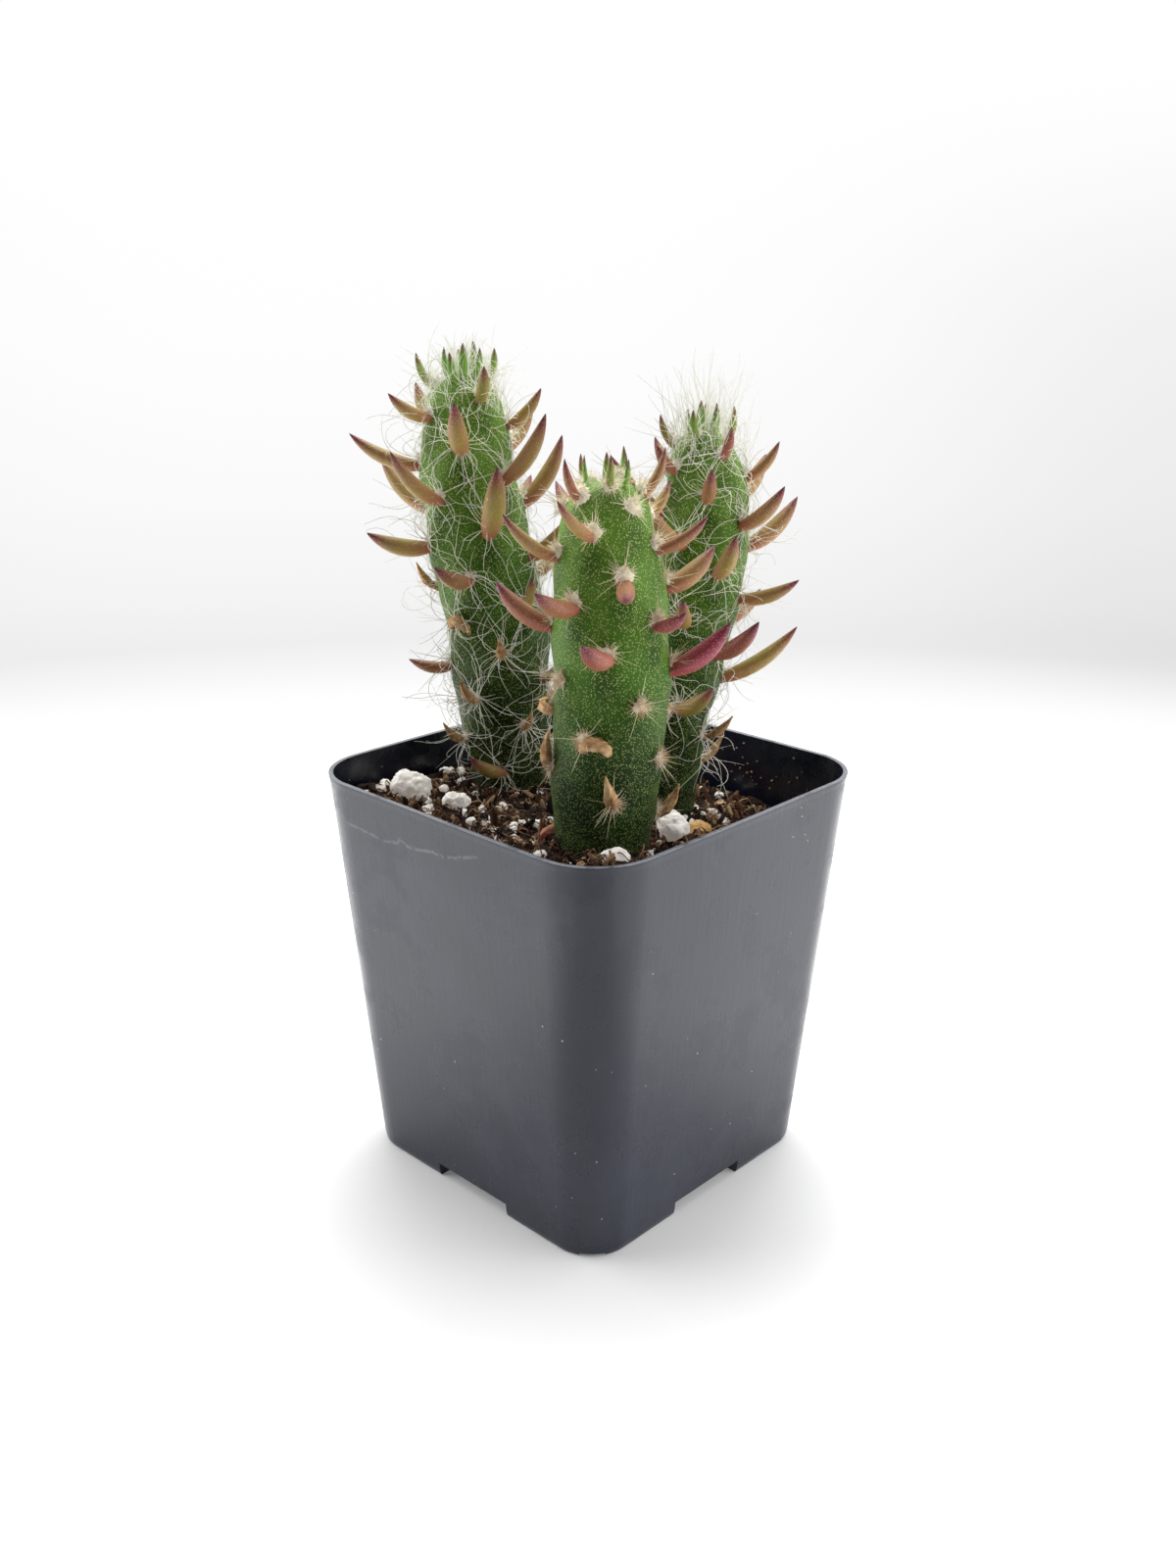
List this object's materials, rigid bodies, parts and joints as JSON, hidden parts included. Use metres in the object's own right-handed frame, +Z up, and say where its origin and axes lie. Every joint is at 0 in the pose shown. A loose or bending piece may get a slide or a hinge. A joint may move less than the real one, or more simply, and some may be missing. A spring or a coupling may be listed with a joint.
{
  "type": "potted eves needle cactus",
  "caption": "Young columnar cactus with upright fleshy stems, awl-shaped leaves and hairy spines, standing in a square plastic nursery pot of coarse bark mix.",
  "frame": {"origin": "under the middle of the whole plant's bounding box, leaves included, at the height of the pot's feet", "axes": "+Z up; the pot's sides run along X and Y, and its corner towards +X and -Y faces the viewer"},
  "size_m": [0.0726, 0.0636, 0.1314],
  "materials": {
    "pot_plastic": "black, thin, satin, with dust and a few scuffs",
    "potting_mix": "loose brown bark and coir fibre, matt",
    "cactus_flesh": "waxy green skin with fine pale dots, leaves from green to brick red",
    "white_perlite": "rough, chalky white",
    "amber_stone": "rough, tan to amber"
  },
  "bodies": {
    "root": {"pot": "pot_plastic", "soil": "potting_mix", "stem_left": "cactus_flesh", "stem_centre": "cactus_flesh", "stem_right": "cactus_flesh", "perlite_1": "white_perlite", "perlite_2": "white_perlite", "perlite_3": "white_perlite", "perlite_4": "white_perlite", "perlite_5": "white_perlite", "perlite_6": "white_perlite", "perlite_7": "white_perlite", "perlite_8": "white_perlite", "perlite_9": "white_perlite", "perlite_10": "white_perlite", "perlite_11": "white_perlite", "perlite_12": "white_perlite", "perlite_13": "white_perlite", "perlite_14": "white_perlite", "perlite_15": "white_perlite", "pebble_tan": "amber_stone"}
  },
  "joints": []
}
